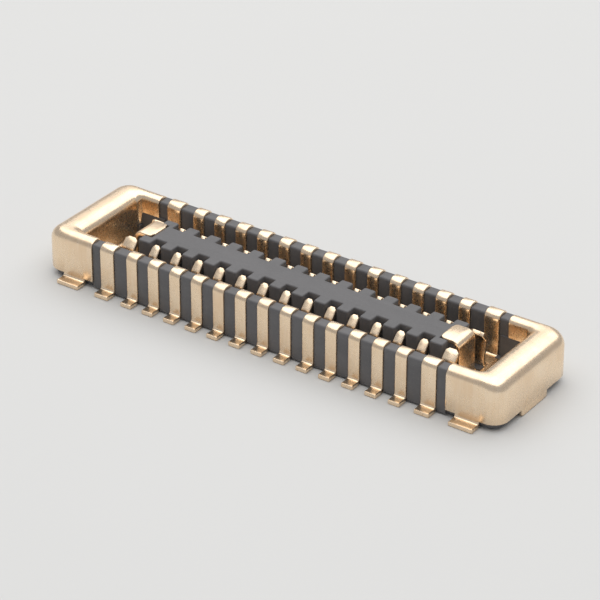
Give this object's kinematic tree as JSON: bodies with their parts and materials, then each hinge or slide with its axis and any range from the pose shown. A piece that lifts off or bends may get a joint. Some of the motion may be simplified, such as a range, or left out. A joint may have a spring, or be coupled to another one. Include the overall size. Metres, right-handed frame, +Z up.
{
  "type": "fpc connector",
  "caption": "Low, narrow receptacle joining a flexible circuit to a board: moulded housing with a centre island, gilt strip contacts wrapped over the side walls, folded metal end fittings.",
  "frame": {"origin": "centre of the footprint, on the plane of the solder tails' undersides", "axes": "+X along the contact rows, +Y across them, +Z up, the way the mating plug leaves"},
  "size_m": [0.0072, 0.002, 0.0007],
  "materials": {
    "housing_plastic": "fine matt moulding",
    "gold_plating": "satin gold plate"
  },
  "bodies": {
    "root": {"housing": "housing_plastic", "end_fitting_left": "gold_plating", "end_fitting_right": "gold_plating", "contact_front_01": "gold_plating", "contact_front_02": "gold_plating", "contact_front_03": "gold_plating", "contact_front_04": "gold_plating", "contact_front_05": "gold_plating", "contact_front_06": "gold_plating", "contact_front_07": "gold_plating", "contact_front_08": "gold_plating", "contact_front_09": "gold_plating", "contact_front_10": "gold_plating", "contact_front_11": "gold_plating", "contact_front_12": "gold_plating", "contact_front_13": "gold_plating", "contact_rear_01": "gold_plating", "contact_rear_02": "gold_plating", "contact_rear_03": "gold_plating", "contact_rear_04": "gold_plating", "contact_rear_05": "gold_plating", "contact_rear_06": "gold_plating", "contact_rear_07": "gold_plating", "contact_rear_08": "gold_plating", "contact_rear_09": "gold_plating", "contact_rear_10": "gold_plating", "contact_rear_11": "gold_plating", "contact_rear_12": "gold_plating", "contact_rear_13": "gold_plating"}
  },
  "joints": []
}
